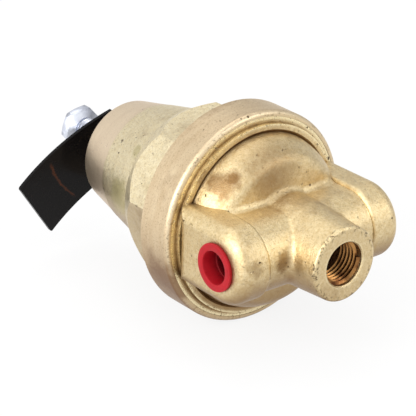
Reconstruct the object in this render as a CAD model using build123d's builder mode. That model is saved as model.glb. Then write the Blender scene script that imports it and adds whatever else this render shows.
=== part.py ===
"""Direct-acting pressure regulating valve in brass, built as its separate pieces.

The main axis is Y. The face of the front (inlet) port is at y = 0 and every
piece is placed by its distance behind that face. +Y runs towards the
adjusting screw, the two side (outlet) ports face +X and -X, and +Z is up.
All sizes are in millimetres.
"""

import os
from math import cos, pi, radians, sin, sqrt

from build123d import *

os.makedirs("parts", exist_ok=True)

# Pipe ports: quarter-inch taper pipe thread, given by the root of the thread
port_root_radius = 6.86
port_mouth_chamfer = 0.34
port_thread_depth = 13.0
side_port_station = 21.1
side_port_reach = 30.8
passage_radius = 3.0
passage_offset = 19.0

# Cast outside of the valve body
boss_face_radius = 11.7
boss_root_radius = 13.3
boss_edge_radius = 0.9
neck_radius = 11.2
block_station = 20.8
block_radius = 12.2
block_thickness = 10.8
block_edge_radius = 4.0
block_inner_edge_radius = 1.4
block_to_skirt_gap = 0.7
dome_face_station = 27.4
dome_face_fall = 1.0
dome_shoulder_width = 5.1
dome_shoulder_radius = 5.0
dome_foot_station = 38.4
dome_bulge_radius = 15.0
valley_width = 1.1
valley_slant = 0.3
valley_depth = 0.5
step_station = 39.2
step_height = 1.8
step_width = 1.7
land_station = 40.9
land_thickness = 1.4
rim_wall = 1.8
cast_fillet_radius = 2.2

# Threaded joint between the valve body and the spring housing
skirt_wall = 2.7
spigot_end_station = 49.0
thread_clearance = 0.06

# Rooms inside the valve body
spigot_wall = 6.3
chamber_floor_station = 39.4
inlet_bore_radius = 6.0
seat_thread_radius = 9.4
seat_shoulder_station = 31.0

# Spring housing
skirt_radius = 34.0
skirt_front_station = 40.8
skirt_back_station = 54.0
skirt_front_edge_radius = 1.5
skirt_back_chamfer = 0.8
wrench_ledge = 4.8
wrench_chamfer_station = 65.5
wrench_back_station = 72.5
wrench_corner_cut = 3.5
wrench_turn = 8.0
wrench_sides = 8
flare_depth = 3.0
flare_station = 66.5
flare_width = 3.3
cone_start_station = 79.0
band_station = 91.0
band_step = 0.12
housing_end_station = 106.3
housing_end_radius = 17.3
housing_end_edge_radius = 1.6
housing_wall = 3.2
clamp_shoulder_width = 4.36
wrench_wall = 1.98
spring_room_taper_station = 60.0
spring_room_back_station = 94.6
nut_recess_radius = 12.5
nut_recess_station = 100.3
vent_radius = 1.3
vent_station = 60.0

# Diaphragm and what moves with it
diaphragm_thickness = 1.2
diaphragm_rim_clearance = 0.36
diaphragm_roll_half_width = 2.2
diaphragm_roll_height = 1.6
slip_ring_thickness = 0.8
plate_gap = 6.4
pressure_plate_thickness = 2.2
plate_edge_radius = 0.7
cup_base_thickness = 1.8
cup_pilot_height = 3.0
cup_pilot_wall = 1.5
clamp_clearance = 0.02
stem_radius = 3.0
stem_head_radius = 5.2
stem_head_thickness = 2.4
stem_nut_flats = 10.0
stem_nut_thickness = 5.0
stem_point_length = 1.2

# Inlet valve
seat_orifice_radius = 3.4
seat_lip_radius = 4.5
seat_lip_height = 1.0
seat_flats = 20.0
seat_head_thickness = 2.8
seat_neck_radius = 7.6
seat_neck_length = 2.1
seat_front_gap = 0.4
seat_ring_section = 1.7
poppet_radius = 4.9
poppet_length = 4.5
poppet_pocket_radius = 4.3
poppet_pocket_depth = 1.6
poppet_stem_radius = 1.5
poppet_boss_radius = 3.1
poppet_boss_length = 1.8
poppet_tail_radius = 1.6
poppet_tail_length = 6.3
disc_proud = 0.35
disc_clearance = 0.05
contact_gap = 0.05
retainer_thickness = 3.5
retainer_station = 15.0
retainer_hole_radius = 0.85
retainer_hole_circle = 3.9
retainer_hole_count = 6
strainer_thickness = 0.6
strainer_hole_radius = 0.5
strainer_ring_radii = (1.7, 3.4)
strainer_ring_counts = (6, 12)
guide_clearance = 0.06
poppet_wire_radius = 0.4
poppet_coil_radius = 3.85
poppet_coils = 5

# Regulating spring, its rear seat and the adjusting screw
spring_wire_radius = 1.7
spring_outer_radius = 12.4
spring_coils = 6
spring_pilot_clearance = 0.4
button_radius = 13.0
button_station = 89.2
button_thickness = 3.2
button_pilot_radius = 8.3
button_pilot_length = 3.6
dimple_radius = 3.2
dimple_depth = 1.4
screw_radius = 3.97
screw_point_radius = 1.1
screw_point_length = 1.5
screw_point_gap = 0.1
screw_head_station = 130.4
screw_head_flats = 12.7
screw_head_thickness = 3.6
screw_head_turn = -11.5
screw_washer_face_radius = 6.1
screw_washer_face_height = 0.4
screw_clearance = 0.05
hex_chamfer_slope = 0.58
nut_flats = 12.7
nut_thickness = 4.0
nut_turn = 20.0
lock_washer_radius = 7.2
lock_washer_thickness = 0.8

# Seals of the body joint and the red plug of the unused outlet
body_ring_section = 1.5
body_ring_groove_depth = 1.4
body_ring_groove_width = 1.9
body_ring_offset = 0.4
plug_flange_radius = 7.4
plug_flange_thickness = 1.2
plug_fit = 0.06
plug_depth = 9.0
plug_tip_shrink = 0.35
plug_hollow_radius = 5.0
plug_bottom = 1.2
plug_inner_step = 0.5
plug_edge_radius = 0.35

# Black tag that hangs on the adjusting screw
tag_width = 23.1
tag_upper_edge = 15.9
tag_inner_end = 4.0
tag_outer_end = 34.8
tag_thickness = 1.2
tag_nose_radius = 6.2
tag_hole_clearance = 0.25
tag_roll_angle = 34.0
tag_tilt = 4.4
tag_crown_station = 114.7
tag_crown_distance = 22.0
tag_inner_drop = 10.4
tag_outer_drop = 1.1
tag_corner_radius = 0.8


def station(y):
    """The plane across the main axis at distance y, facing the rear."""
    return Plane(origin=(0, y, 0), x_dir=(1, 0, 0), z_dir=(0, 1, 0))


def turned(*points):
    """A half section of (radius, distance) points for a turned piece."""
    with BuildSketch(Plane.XY) as section:
        with BuildLine():
            Polyline(*points, close=True)
        make_face()
    return section.sketch


def bar(inner, outer, front, back):
    """A rectangular half section: a plain disc, ring or rod."""
    return turned((inner, front), (outer, front), (outer, back), (inner, back))


def chamfered_hex(flats, front, back, turn, sides):
    """A hexagon prism whose corners are cut by a cone at the ends in sides."""
    corner = flats / sqrt(3)
    drop = (corner - flats / 2) * hex_chamfer_slope
    outline = [(0, front)]
    if "front" in sides:
        outline += [(flats / 2, front), (corner, front + drop)]
    else:
        outline += [(corner, front)]
    if "back" in sides:
        outline += [(corner, back - drop), (flats / 2, back)]
    else:
        outline += [(corner, back)]
    outline += [(0, back)]
    with BuildPart() as prism:
        with BuildSketch(station(front)):
            RegularPolygon(flats / 2, 6, major_radius=False, rotation=turn)
        extrude(amount=back - front)
        revolve(turned(*outline), axis=Axis.Y, mode=Mode.INTERSECT)
    return prism.part


def coil_spring(front, back, coil_radius, wire_radius, coils):
    """A round-wire compression spring with its end coils ground flat."""
    pitch = (back - front - wire_radius) / coils
    with BuildPart() as spring:
        with BuildLine() as path:
            Helix(
                pitch=pitch,
                height=back - front - wire_radius,
                radius=coil_radius,
                center=(0, front + wire_radius / 2, 0),
                direction=(0, 1, 0),
            )
        with BuildSketch(Plane(origin=path.line @ 0, z_dir=path.line % 0)):
            Circle(wire_radius)
        sweep(path=path.line, is_frenet=True)
        outer = coil_radius + 2 * wire_radius
        revolve(bar(0, outer, front, back), axis=Axis.Y, mode=Mode.INTERSECT)
    return spring.part


# Radii and stations worked out from the sizes above
land_radius = skirt_radius - rim_wall
step_radius = land_radius - step_height
dome_foot_radius = step_radius - step_width - valley_width
dome_face_radius = dome_foot_radius - dome_shoulder_width
spigot_radius = skirt_radius - skirt_wall
spigot_bore_radius = spigot_radius + thread_clearance
chamber_radius = spigot_radius - spigot_wall
plate_radius = chamber_radius - plate_gap
diaphragm_rim_radius = spigot_bore_radius - diaphragm_rim_clearance
diaphragm_roll_radius = (plate_radius + chamber_radius) / 2
clamp_room_radius = spigot_bore_radius - clamp_shoulder_width
wrench_corner_radius = skirt_radius - wrench_ledge
wrench_back_radius = wrench_corner_radius - wrench_corner_cut
flare_foot_radius = wrench_corner_radius - flare_depth
cone_start_radius = flare_foot_radius - flare_width
spring_room_front_radius = wrench_corner_radius * cos(pi / wrench_sides) - wrench_wall
block_back_station = skirt_front_station - block_to_skirt_gap
block_inner_reach = side_port_reach - block_thickness
land_back_station = land_station + land_thickness
diaphragm_front = spigot_end_station
diaphragm_back = diaphragm_front + diaphragm_thickness
clamp_shoulder_station = diaphragm_back + slip_ring_thickness
pressure_plate_front = diaphragm_front - pressure_plate_thickness
cup_back = diaphragm_back + cup_base_thickness
stem_head_front = pressure_plate_front - stem_head_thickness
stem_nut_back = cup_back + stem_nut_thickness
spring_coil_radius = spring_outer_radius - spring_wire_radius
button_back = button_station + button_thickness
lock_nut_front = nut_recess_station + lock_washer_thickness
lock_nut_back = lock_nut_front + nut_thickness
seat_front = seat_shoulder_station + seat_front_gap
seat_lip_station = seat_front - seat_lip_height
disc_back = seat_lip_station - contact_gap
poppet_back = disc_back - disc_proud
poppet_front = poppet_back - poppet_length
retainer_back = retainer_station + retainer_thickness
body_ring_front = land_back_station + body_ring_offset
body_ring_back = body_ring_front + body_ring_groove_width

# Outer faces of the three threaded ports, each facing outwards
port_faces = (
    Plane(origin=(0, 0, 0), z_dir=(0, -1, 0)),
    Plane(origin=(side_port_reach, side_port_station, 0), z_dir=(1, 0, 0)),
    Plane(origin=(-side_port_reach, side_port_station, 0), z_dir=(-1, 0, 0)),
)

# Valve body, with bosses for the inlet and the two outlets
with BuildPart() as side_block:
    with BuildSketch(Plane.YZ.offset(block_inner_reach)):
        with Locations((block_station, 0)):
            Circle(block_radius)
            Rectangle(
                block_back_station - block_station,
                2 * block_radius,
                align=(Align.MIN, Align.CENTER),
            )
    extrude(amount=block_thickness)
    fillet(side_block.edges().group_by(Axis.X)[-1], block_edge_radius)
    fillet(side_block.edges().group_by(Axis.X)[0], block_inner_edge_radius)

with BuildPart() as valve_body:
    with BuildSketch(Plane.XY):
        with BuildLine():
            Polyline(
                (0, 0),
                (boss_face_radius, 0),
                (boss_root_radius, dome_face_station),
                (dome_face_radius, dome_face_station + dome_face_fall),
            )
            RadiusArc(
                (dome_face_radius, dome_face_station + dome_face_fall),
                (dome_foot_radius, dome_foot_station),
                -dome_bulge_radius,
            )
            Polyline(
                (dome_foot_radius, dome_foot_station),
                (dome_foot_radius + valley_slant, step_station + valley_depth),
                (step_radius - step_width, step_station),
                (step_radius, step_station),
                (step_radius, land_station),
                (land_radius, land_station),
                (land_radius, land_back_station),
                (spigot_radius, land_back_station),
                (spigot_radius, body_ring_front),
                (spigot_radius - body_ring_groove_depth, body_ring_front),
                (spigot_radius - body_ring_groove_depth, body_ring_back),
                (spigot_radius, body_ring_back),
                (spigot_radius, spigot_end_station),
                (0, spigot_end_station),
                (0, 0),
            )
        make_face()
    revolve(axis=Axis.Y)
    fillet(
        valve_body.edges().filter_by(GeomType.CIRCLE).sort_by(Axis.Y)[0],
        boss_edge_radius,
    )
    fillet(
        valve_body.edges()
        .filter_by(GeomType.CIRCLE)
        .filter_by(lambda edge: abs(edge.radius - dome_face_radius) < 0.01),
        dome_shoulder_radius,
    )
    with BuildSketch(Plane.YZ.offset(-block_inner_reach)):
        with Locations((block_station, 0)):
            Circle(neck_radius)
            Rectangle(
                dome_foot_station - block_station,
                2 * neck_radius,
                align=(Align.MIN, Align.CENTER),
            )
    extrude(amount=2 * block_inner_reach)
    add(side_block.part)
    add(mirror(side_block.part, about=Plane.YZ, mode=Mode.PRIVATE))
    boss_foot_edges = (
        valve_body.edges()
        .filter_by(GeomType.CIRCLE)
        .filter_by(lambda edge: abs(edge.radius - boss_root_radius) < 0.01)
    )
    neck_edges = valve_body.edges().filter_by(
        lambda edge: edge.geom_type in (GeomType.BSPLINE, GeomType.HYPERBOLA)
        and abs(edge.center().X) < block_inner_reach - block_inner_edge_radius / 2
        and abs(edge.center().Z) < neck_radius + block_inner_edge_radius / 2
    )
    fillet(boss_foot_edges + neck_edges, cast_fillet_radius)
    for face in port_faces:
        with BuildSketch(face):
            Circle(port_root_radius)
        extrude(amount=-port_thread_depth, mode=Mode.SUBTRACT)
        chamfer(
            valve_body.edges(Select.LAST)
            .filter_by(GeomType.CIRCLE)
            .sort_by(Axis(face.origin, face.z_dir))[-1],
            port_mouth_chamfer,
        )
    revolve(
        turned(
            (0, port_thread_depth),
            (inlet_bore_radius, port_thread_depth),
            (inlet_bore_radius, seat_shoulder_station),
            (seat_thread_radius + thread_clearance, seat_shoulder_station),
            (seat_thread_radius + thread_clearance, chamber_floor_station),
            (chamber_radius, chamber_floor_station),
            (chamber_radius, spigot_end_station),
            (0, spigot_end_station),
        ),
        axis=Axis.Y,
        mode=Mode.SUBTRACT,
    )
    with BuildSketch(station(side_port_station)):
        with Locations((passage_offset, 0), (-passage_offset, 0)):
            Circle(passage_radius)
    extrude(amount=chamber_floor_station - side_port_station, mode=Mode.SUBTRACT)
valve_body.part.label = "valve_body"
export_step(valve_body.part, "parts/valve_body.step")

# Spring housing: a cap nut in front, a wrench section, and a tapered barrel
with BuildPart() as wrench_section:
    with BuildSketch(station(skirt_back_station)):
        RegularPolygon(wrench_corner_radius, wrench_sides, rotation=wrench_turn)
    extrude(amount=wrench_back_station - skirt_back_station)
    revolve(
        turned(
            (0, skirt_back_station),
            (wrench_corner_radius, skirt_back_station),
            (wrench_corner_radius, wrench_chamfer_station),
            (wrench_back_radius, wrench_back_station),
            (0, wrench_back_station),
        ),
        axis=Axis.Y,
        mode=Mode.INTERSECT,
    )

barrel_slope = (cone_start_radius - housing_end_radius) / (housing_end_station - cone_start_station)
band_radius = cone_start_radius - barrel_slope * (band_station - cone_start_station)
spring_room_back_radius = (
    cone_start_radius
    - barrel_slope * (spring_room_back_station - cone_start_station)
    - housing_wall
)

with BuildPart() as spring_housing:
    with BuildSketch(Plane.XY):
        with BuildLine():
            Polyline(
                (0, skirt_front_station),
                (skirt_radius, skirt_front_station),
                (skirt_radius, skirt_back_station - skirt_back_chamfer),
                (skirt_radius - skirt_back_chamfer, skirt_back_station),
                (flare_foot_radius, skirt_back_station),
                (flare_foot_radius, flare_station),
            )
            Spline(
                (flare_foot_radius, flare_station),
                (cone_start_radius, cone_start_station),
                tangents=((-1, 1.4), (-barrel_slope, 1)),
            )
            Polyline(
                (cone_start_radius, cone_start_station),
                (band_radius, band_station),
                (band_radius - band_step, band_station),
                (housing_end_radius - band_step, housing_end_station),
                (0, housing_end_station),
                (0, skirt_front_station),
            )
        make_face()
    revolve(axis=Axis.Y)
    add(wrench_section.part)
    fillet(
        spring_housing.edges()
        .filter_by(GeomType.CIRCLE)
        .filter_by(lambda edge: abs(edge.radius - skirt_radius) < 0.01)
        .sort_by(Axis.Y)[0],
        skirt_front_edge_radius,
    )
    fillet(
        spring_housing.edges().filter_by(GeomType.CIRCLE).sort_by(Axis.Y)[-1],
        housing_end_edge_radius,
    )
    revolve(
        turned(
            (0, skirt_front_station),
            (land_radius + thread_clearance, skirt_front_station),
            (land_radius + thread_clearance, land_back_station),
            (spigot_bore_radius, land_back_station),
            (spigot_bore_radius, clamp_shoulder_station),
            (clamp_room_radius, clamp_shoulder_station),
            (spring_room_front_radius, spring_room_taper_station),
            (spring_room_back_radius, spring_room_back_station),
            (0, spring_room_back_station),
        ),
        axis=Axis.Y,
        mode=Mode.SUBTRACT,
    )
    revolve(
        bar(0, screw_radius + screw_clearance, spring_room_back_station, nut_recess_station),
        axis=Axis.Y,
        mode=Mode.SUBTRACT,
    )
    revolve(
        bar(0, nut_recess_radius, nut_recess_station, housing_end_station),
        axis=Axis.Y,
        mode=Mode.SUBTRACT,
    )
    with BuildSketch(Plane.XY):
        with Locations((0, vent_station)):
            Circle(vent_radius)
    extrude(amount=-skirt_radius, mode=Mode.SUBTRACT)
spring_housing.part.label = "spring_housing"
export_step(spring_housing.part, "parts/spring_housing.step")

# Seals and rings of the body joint
with BuildPart() as body_o_ring:
    with BuildSketch(Plane.XY):
        with Locations(
            (
                spigot_radius - body_ring_groove_depth + body_ring_section / 2,
                body_ring_front + body_ring_groove_width / 2,
            )
        ):
            Circle(body_ring_section / 2 - contact_gap)
    revolve(axis=Axis.Y)
body_o_ring.part.label = "body_o_ring"
export_step(body_o_ring.part, "parts/body_o_ring.step")

with BuildPart() as slip_ring:
    revolve(
        bar(clamp_room_radius, diaphragm_rim_radius, diaphragm_back, clamp_shoulder_station),
        axis=Axis.Y,
    )
slip_ring.part.label = "slip_ring"
export_step(slip_ring.part, "parts/slip_ring.step")

# Diaphragm with one rolled ridge between the plates and the clamped rim
with BuildPart() as diaphragm:
    roll_inner = diaphragm_roll_radius - diaphragm_roll_half_width
    roll_outer = diaphragm_roll_radius + diaphragm_roll_half_width
    with BuildSketch(Plane.XY):
        with BuildLine():
            Line((stem_radius + guide_clearance, diaphragm_front), (roll_inner, diaphragm_front))
            ThreePointArc(
                (roll_inner, diaphragm_front),
                (diaphragm_roll_radius, diaphragm_front + diaphragm_roll_height),
                (roll_outer, diaphragm_front),
            )
            Polyline(
                (roll_outer, diaphragm_front),
                (diaphragm_rim_radius, diaphragm_front),
                (diaphragm_rim_radius, diaphragm_back),
                (roll_outer, diaphragm_back),
            )
            ThreePointArc(
                (roll_outer, diaphragm_back),
                (diaphragm_roll_radius, diaphragm_back + diaphragm_roll_height),
                (roll_inner, diaphragm_back),
            )
            Polyline(
                (roll_inner, diaphragm_back),
                (stem_radius + guide_clearance, diaphragm_back),
                (stem_radius + guide_clearance, diaphragm_front),
            )
        make_face()
    revolve(axis=Axis.Y)
diaphragm.part.label = "diaphragm"
export_step(diaphragm.part, "parts/diaphragm.step")

# Pressure plate in front of the diaphragm
with BuildPart() as pressure_plate:
    revolve(
        bar(
            stem_radius + guide_clearance,
            plate_radius,
            pressure_plate_front,
            diaphragm_front - clamp_clearance,
        ),
        axis=Axis.Y,
    )
    fillet(
        pressure_plate.edges().filter_by(GeomType.CIRCLE).group_by(SortBy.RADIUS)[-1],
        plate_edge_radius,
    )
pressure_plate.part.label = "pressure_plate"
export_step(pressure_plate.part, "parts/pressure_plate.step")

# Cup behind the diaphragm, which carries the regulating spring
cup_front = diaphragm_back + clamp_clearance
pilot_inner = spring_outer_radius + spring_pilot_clearance
with BuildPart() as spring_cup:
    revolve(
        turned(
            (stem_radius + guide_clearance, cup_front),
            (plate_radius, cup_front),
            (plate_radius, cup_back),
            (pilot_inner + cup_pilot_wall, cup_back),
            (pilot_inner + cup_pilot_wall, cup_back + cup_pilot_height),
            (pilot_inner, cup_back + cup_pilot_height),
            (pilot_inner, cup_back),
            (stem_radius + guide_clearance, cup_back),
        ),
        axis=Axis.Y,
    )
spring_cup.part.label = "spring_cup"
export_step(spring_cup.part, "parts/spring_cup.step")

# Stem that clamps plate, diaphragm and cup together, and its nut
with BuildPart() as diaphragm_stem:
    stem_end = stem_nut_back + stem_point_length
    revolve(
        turned(
            (0, stem_head_front),
            (stem_head_radius, stem_head_front),
            (stem_head_radius, pressure_plate_front),
            (stem_radius, pressure_plate_front),
            (stem_radius, stem_nut_back),
            (stem_radius - stem_point_length / 2, stem_end),
            (0, stem_end),
        ),
        axis=Axis.Y,
    )
diaphragm_stem.part.label = "diaphragm_stem"
export_step(diaphragm_stem.part, "parts/diaphragm_stem.step")

with BuildPart() as stem_nut:
    add(chamfered_hex(stem_nut_flats, cup_back, stem_nut_back, 0, ("back",)))
    revolve(
        bar(0, stem_radius + screw_clearance, cup_back, stem_nut_back),
        axis=Axis.Y,
        mode=Mode.SUBTRACT,
    )
stem_nut.part.label = "stem_nut"
export_step(stem_nut.part, "parts/stem_nut.step")

# Valve seat, screwed into the body from the diaphragm side
with BuildPart() as valve_seat:
    seat_neck_back = seat_front + seat_neck_length
    add(
        chamfered_hex(
            seat_flats,
            chamber_floor_station,
            chamber_floor_station + seat_head_thickness,
            0,
            ("back",),
        )
    )
    revolve(
        turned(
            (0, seat_lip_station),
            (seat_lip_radius, seat_lip_station),
            (seat_lip_radius, seat_front),
            (seat_neck_radius, seat_front),
            (seat_neck_radius, seat_neck_back),
            (seat_thread_radius, seat_neck_back),
            (seat_thread_radius, chamber_floor_station),
            (0, chamber_floor_station),
        ),
        axis=Axis.Y,
    )
    revolve(
        bar(
            0,
            seat_orifice_radius,
            seat_lip_station,
            chamber_floor_station + seat_head_thickness,
        ),
        axis=Axis.Y,
        mode=Mode.SUBTRACT,
    )
valve_seat.part.label = "valve_seat"
export_step(valve_seat.part, "parts/valve_seat.step")

with BuildPart() as seat_o_ring:
    seat_ring_space = seat_thread_radius + thread_clearance - seat_neck_radius
    with BuildSketch(Plane.XY):
        with Locations(
            (
                seat_neck_radius + seat_ring_space / 2,
                seat_front + seat_neck_length - seat_ring_section / 2,
            )
        ):
            Circle(seat_ring_section / 2 - contact_gap)
    revolve(axis=Axis.Y)
seat_o_ring.part.label = "seat_o_ring"
export_step(seat_o_ring.part, "parts/seat_o_ring.step")

# Inlet poppet with its rubber disc; the stem reaches up to the diaphragm stem
with BuildPart() as inlet_poppet:
    poppet_boss_front = poppet_front - poppet_boss_length
    poppet_tail_front = poppet_boss_front - poppet_tail_length
    poppet_stem_back = stem_head_front - contact_gap
    pocket_floor = poppet_back - poppet_pocket_depth
    revolve(
        turned(
            (0, poppet_tail_front),
            (poppet_tail_radius, poppet_tail_front),
            (poppet_tail_radius, poppet_boss_front),
            (poppet_boss_radius, poppet_boss_front),
            (poppet_boss_radius, poppet_front),
            (poppet_radius, poppet_front),
            (poppet_radius, poppet_back),
            (poppet_pocket_radius, poppet_back),
            (poppet_pocket_radius, pocket_floor),
            (poppet_stem_radius, pocket_floor),
            (poppet_stem_radius, poppet_stem_back),
            (0, poppet_stem_back),
        ),
        axis=Axis.Y,
    )
inlet_poppet.part.label = "inlet_poppet"
export_step(inlet_poppet.part, "parts/inlet_poppet.step")

with BuildPart() as poppet_disc:
    revolve(
        bar(
            poppet_stem_radius + disc_clearance,
            poppet_pocket_radius - disc_clearance,
            pocket_floor,
            disc_back,
        ),
        axis=Axis.Y,
    )
poppet_disc.part.label = "poppet_disc"
export_step(poppet_disc.part, "parts/poppet_disc.step")

# Retainer that guides the poppet's tail and seats its spring
with BuildPart() as poppet_retainer:
    revolve(
        bar(
            poppet_tail_radius + guide_clearance,
            inlet_bore_radius - contact_gap,
            retainer_station,
            retainer_back,
        ),
        axis=Axis.Y,
    )
    with BuildSketch(station(retainer_station)):
        with PolarLocations(retainer_hole_circle, retainer_hole_count):
            Circle(retainer_hole_radius)
    extrude(amount=retainer_thickness, mode=Mode.SUBTRACT)
poppet_retainer.part.label = "poppet_retainer"
export_step(poppet_retainer.part, "parts/poppet_retainer.step")

# Perforated strainer in front of the retainer
with BuildPart() as inlet_strainer:
    strainer_front = retainer_station - strainer_thickness
    revolve(
        bar(0, inlet_bore_radius - contact_gap, strainer_front, retainer_station),
        axis=Axis.Y,
    )
    with BuildSketch(station(strainer_front)):
        Circle(strainer_hole_radius)
        for ring_radius, ring_count in zip(strainer_ring_radii, strainer_ring_counts):
            with PolarLocations(ring_radius, ring_count):
                Circle(strainer_hole_radius)
    extrude(amount=strainer_thickness, mode=Mode.SUBTRACT)
inlet_strainer.part.label = "inlet_strainer"
export_step(inlet_strainer.part, "parts/inlet_strainer.step")

# Springs
with BuildPart() as poppet_spring:
    add(
        coil_spring(
            retainer_back + contact_gap,
            poppet_front - contact_gap,
            poppet_coil_radius,
            poppet_wire_radius,
            poppet_coils,
        )
    )
poppet_spring.part.label = "poppet_spring"
export_step(poppet_spring.part, "parts/poppet_spring.step")

with BuildPart() as regulating_spring:
    add(
        coil_spring(
            cup_back + contact_gap,
            button_station - contact_gap,
            spring_coil_radius,
            spring_wire_radius,
            spring_coils,
        )
    )
regulating_spring.part.label = "regulating_spring"
export_step(regulating_spring.part, "parts/regulating_spring.step")

# Rear spring seat, pushed by the point of the adjusting screw
with BuildPart() as spring_button:
    dimple_floor = button_back - dimple_depth
    revolve(
        turned(
            (0, button_station - button_pilot_length),
            (button_pilot_radius, button_station - button_pilot_length),
            (button_pilot_radius, button_station),
            (button_radius, button_station),
            (button_radius, button_back),
            (dimple_radius, button_back),
            (screw_point_radius, dimple_floor),
            (0, dimple_floor),
        ),
        axis=Axis.Y,
    )
spring_button.part.label = "spring_button"
export_step(spring_button.part, "parts/spring_button.step")

# Hexagon-head adjusting screw
with BuildPart() as adjusting_screw:
    point_front = dimple_floor + screw_point_gap
    head_back = screw_head_station + screw_head_thickness
    add(
        chamfered_hex(
            screw_head_flats,
            screw_head_station,
            head_back,
            screw_head_turn,
            ("back",),
        )
    )
    revolve(
        turned(
            (0, point_front),
            (screw_point_radius - screw_point_gap, point_front),
            (screw_radius, point_front + screw_point_length + dimple_depth),
            (screw_radius, screw_head_station - screw_washer_face_height),
            (screw_washer_face_radius, screw_head_station - screw_washer_face_height),
            (screw_washer_face_radius, screw_head_station),
            (0, screw_head_station),
        ),
        axis=Axis.Y,
    )
adjusting_screw.part.label = "adjusting_screw"
export_step(adjusting_screw.part, "parts/adjusting_screw.step")

# Thin lock nut on a lock washer, in the recess of the housing's end
with BuildPart() as lock_washer:
    revolve(
        bar(
            screw_radius + screw_clearance,
            lock_washer_radius,
            nut_recess_station,
            lock_nut_front,
        ),
        axis=Axis.Y,
    )
lock_washer.part.label = "lock_washer"
export_step(lock_washer.part, "parts/lock_washer.step")

with BuildPart() as lock_nut:
    add(chamfered_hex(nut_flats, lock_nut_front, lock_nut_back, nut_turn, ("front", "back")))
    revolve(
        bar(0, screw_radius + screw_clearance, lock_nut_front, lock_nut_back),
        axis=Axis.Y,
        mode=Mode.SUBTRACT,
    )
lock_nut.part.label = "lock_nut"
export_step(lock_nut.part, "parts/lock_nut.step")

# Hollow plug in the unused side port, drawn on the -X port's own axis
plug_plane = Plane(origin=(-side_port_reach, side_port_station, 0), x_dir=(0, 1, 0), z_dir=(0, 0, 1))
plug_axis = Axis(origin=(-side_port_reach, side_port_station, 0), direction=(1, 0, 0))
plug_body_radius = port_root_radius - plug_fit
with BuildPart() as port_plug:
    with BuildSketch(plug_plane):
        with BuildLine():
            Polyline(
                (0, plug_bottom - plug_depth),
                (0, -plug_depth),
                (plug_body_radius - plug_tip_shrink, -plug_depth),
                (plug_body_radius, -port_mouth_chamfer),
                (plug_body_radius, 0),
                (plug_flange_radius, 0),
                (plug_flange_radius, plug_flange_thickness),
                (plug_hollow_radius, plug_flange_thickness),
                (plug_hollow_radius, -plug_depth / 2),
                (plug_hollow_radius - plug_inner_step, -plug_depth / 2),
                (plug_hollow_radius - plug_inner_step, plug_bottom - plug_depth),
                close=True,
            )
        make_face()
    revolve(axis=plug_axis)
    fillet(
        port_plug.edges()
        .filter_by(GeomType.CIRCLE)
        .filter_by(lambda edge: abs(edge.radius - plug_flange_radius) < 0.01)
        .sort_by(Axis.X)[0],
        plug_edge_radius,
    )
port_plug.part.label = "port_plug"
export_step(port_plug.part, "parts/port_plug.step")

# Curved tag: an arched sheet cut to the tag's outline
roll = radians(tag_roll_angle)
tilt = radians(tag_tilt)
tag_out = (-cos(roll), 0, -sin(roll))
tag_normal = (sin(roll) * cos(tilt), sin(tilt), -cos(roll) * cos(tilt))
tag_plane = Plane(origin=(0, tag_crown_station, 0), x_dir=tag_out, z_dir=tag_normal)
outline_plane = Plane(origin=(0, 0, 0), x_dir=tag_out, z_dir=(0, 1, 0))
tag_centre = tag_width / 2 - tag_upper_edge
with BuildPart() as tag_strip:
    with BuildSketch(tag_plane.offset(-tag_upper_edge - tag_thickness)):
        with BuildLine():
            ThreePointArc(
                (-tag_inner_end - tag_nose_radius, -tag_inner_drop),
                (tag_crown_distance, 0),
                (tag_outer_end + tag_thickness, -tag_outer_drop),
            )
            offset(amount=tag_thickness, side=Side.LEFT)
        make_face()
    extrude(amount=tag_width + 2 * tag_thickness)
    with BuildSketch(outline_plane.offset(skirt_back_station)) as tag_outline:
        with Locations((-tag_inner_end, -tag_centre)):
            Rectangle(
                tag_inner_end + tag_outer_end,
                tag_width,
                align=(Align.MIN, Align.CENTER),
            )
        Circle(tag_nose_radius)
        fillet(tag_outline.vertices().sort_by(Axis.X)[-2:], tag_corner_radius)
        Circle(screw_radius + tag_hole_clearance, mode=Mode.SUBTRACT)
    extrude(amount=screw_head_station - skirt_back_station, mode=Mode.INTERSECT)
tag_strip.part.label = "tag_strip"
export_step(tag_strip.part, "parts/tag_strip.step")
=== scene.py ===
# %% [markdown]
# # A brass pressure regulating valve, dressed for a product photograph
#
# The valve comes in as finished solids, one mesh for each real piece. This
# lesson gives every piece its finish, adds the small forms that solids leave
# out, such as screw threads, and sets up a camera and soft studio light.
# Everything is in metres, and +Y runs from the front port to the screw.

# %% Load the solids
from math import cos, pi, radians, sin, tau

import bmesh
import bpy
from mathutils import Matrix, Vector


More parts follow.
